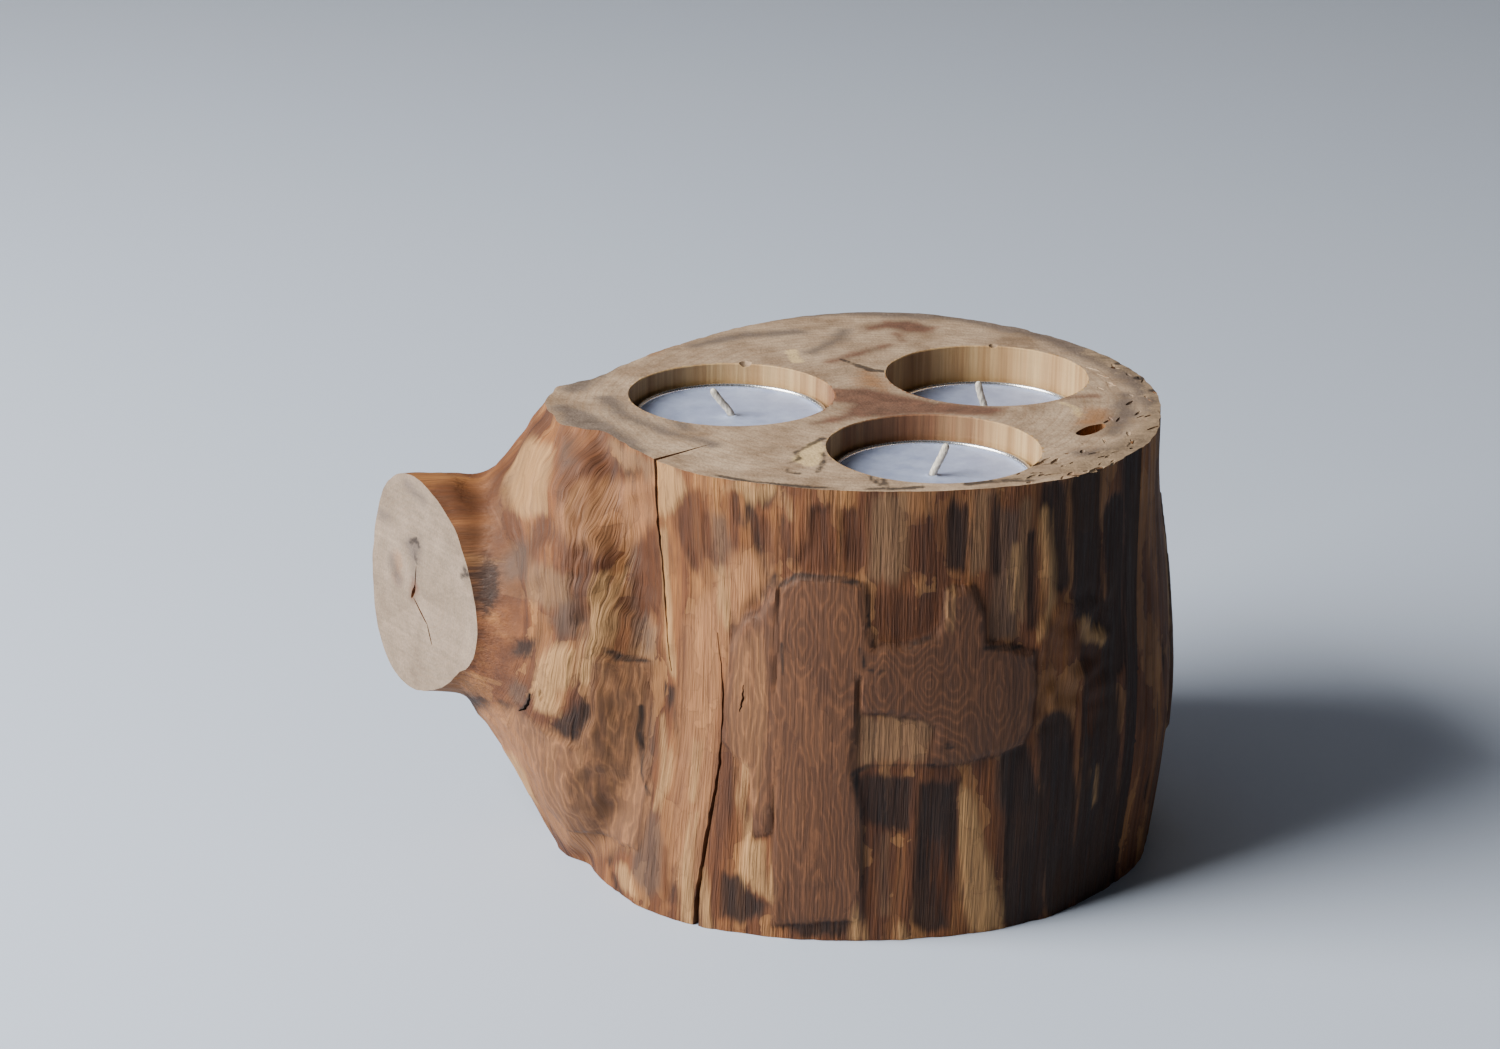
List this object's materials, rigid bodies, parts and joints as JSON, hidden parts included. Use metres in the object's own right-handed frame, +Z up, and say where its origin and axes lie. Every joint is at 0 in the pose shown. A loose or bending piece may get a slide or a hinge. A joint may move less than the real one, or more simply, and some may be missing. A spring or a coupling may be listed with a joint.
{
  "type": "tealight holder",
  "caption": "Short de-barked log with a sawn-off side branch and flat-bottomed wells in its top, each holding a loose tealight.",
  "frame": {"origin": "on the table, in the middle of the trunk's footprint", "axes": "+Z up, -Y to the front, +X to the right; the branch stands out to -X"},
  "size_m": [0.1614, 0.1197, 0.0917],
  "materials": {
    "wood": "de-barked trunk with saw-cut ends, untreated and matt",
    "cup_aluminium": "bright pressed foil",
    "paraffin": "smooth, slightly translucent white wax",
    "wick_cotton": "waxed cotton braid",
    "tab_tinplate": "stamped tinplate"
  },
  "bodies": {
    "log": {"log": "wood"},
    "left_tealight": {"left_cup": "cup_aluminium", "left_wax": "paraffin", "left_wick": "wick_cotton", "left_wick_tab": "tab_tinplate"},
    "front_tealight": {"front_cup": "cup_aluminium", "front_wax": "paraffin", "front_wick": "wick_cotton", "front_wick_tab": "tab_tinplate"},
    "rear_tealight": {"rear_cup": "cup_aluminium", "rear_wax": "paraffin", "rear_wick": "wick_cotton", "rear_wick_tab": "tab_tinplate"}
  },
  "joints": [
    {"name": "left_tealight_lift", "type": "slide", "parent": "log", "child": "left_tealight", "axis": [0, 0, 1], "range_m": [0, 0.04]},
    {"name": "front_tealight_lift", "type": "slide", "parent": "log", "child": "front_tealight", "axis": [0, 0, 1], "range_m": [0, 0.04]},
    {"name": "rear_tealight_lift", "type": "slide", "parent": "log", "child": "rear_tealight", "axis": [0, 0, 1], "range_m": [0, 0.04]}
  ]
}
